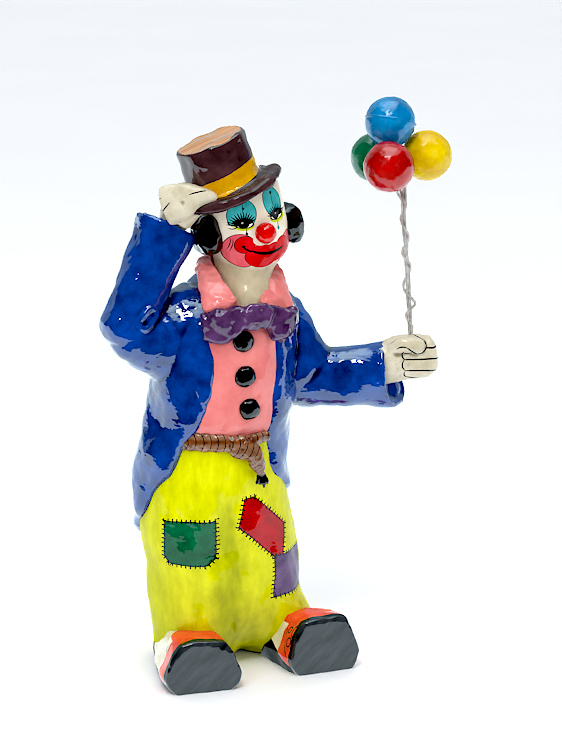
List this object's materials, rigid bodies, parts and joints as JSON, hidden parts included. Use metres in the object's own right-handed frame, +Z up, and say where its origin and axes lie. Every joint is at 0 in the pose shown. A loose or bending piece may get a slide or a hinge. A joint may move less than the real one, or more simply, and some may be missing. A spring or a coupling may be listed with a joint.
{
  "type": "papier-mache clown figure",
  "caption": "Painted papier-mache clown tipping its top hat, in a tailcoat, patched trousers and big shoes, with a bunch of balloons on twisted wires in its fist.",
  "frame": {"origin": "on the floor, under the middle of the trousers, on the flat underside", "axes": "+Z up, -Y is where the clown's body faces, +X is the clown's left, where it holds the balloons"},
  "size_m": [0.2657, 0.1242, 0.428],
  "materials": {
    "figure": "gloss varnish over brushed paint on papier-mache",
    "nose": "gloss varnish over red paint on a small bead",
    "bow_tie": "gloss varnish over brushed paint on papier-mache",
    "buttons": "gloss black paint over papier-mache pads",
    "balloon_wire": "dull grey-white coated wire with streaks of bare metal",
    "balloon_red": "glossy brushed paint over a hollow plastic ball",
    "balloon_blue": "glossy brushed paint over a hollow plastic ball",
    "balloon_yellow": "glossy brushed paint over a hollow plastic ball",
    "balloon_green": "glossy brushed paint over a hollow plastic ball"
  },
  "bodies": {
    "root": {"figure": "figure", "nose": "nose", "bow_tie": "bow_tie", "button_top": "buttons", "button_middle": "buttons", "button_bottom": "buttons", "balloon_red": "balloon_red", "wire_red": "balloon_wire", "balloon_blue": "balloon_blue", "wire_blue": "balloon_wire", "balloon_yellow": "balloon_yellow", "wire_yellow": "balloon_wire", "balloon_green": "balloon_green", "wire_green": "balloon_wire"}
  },
  "joints": []
}
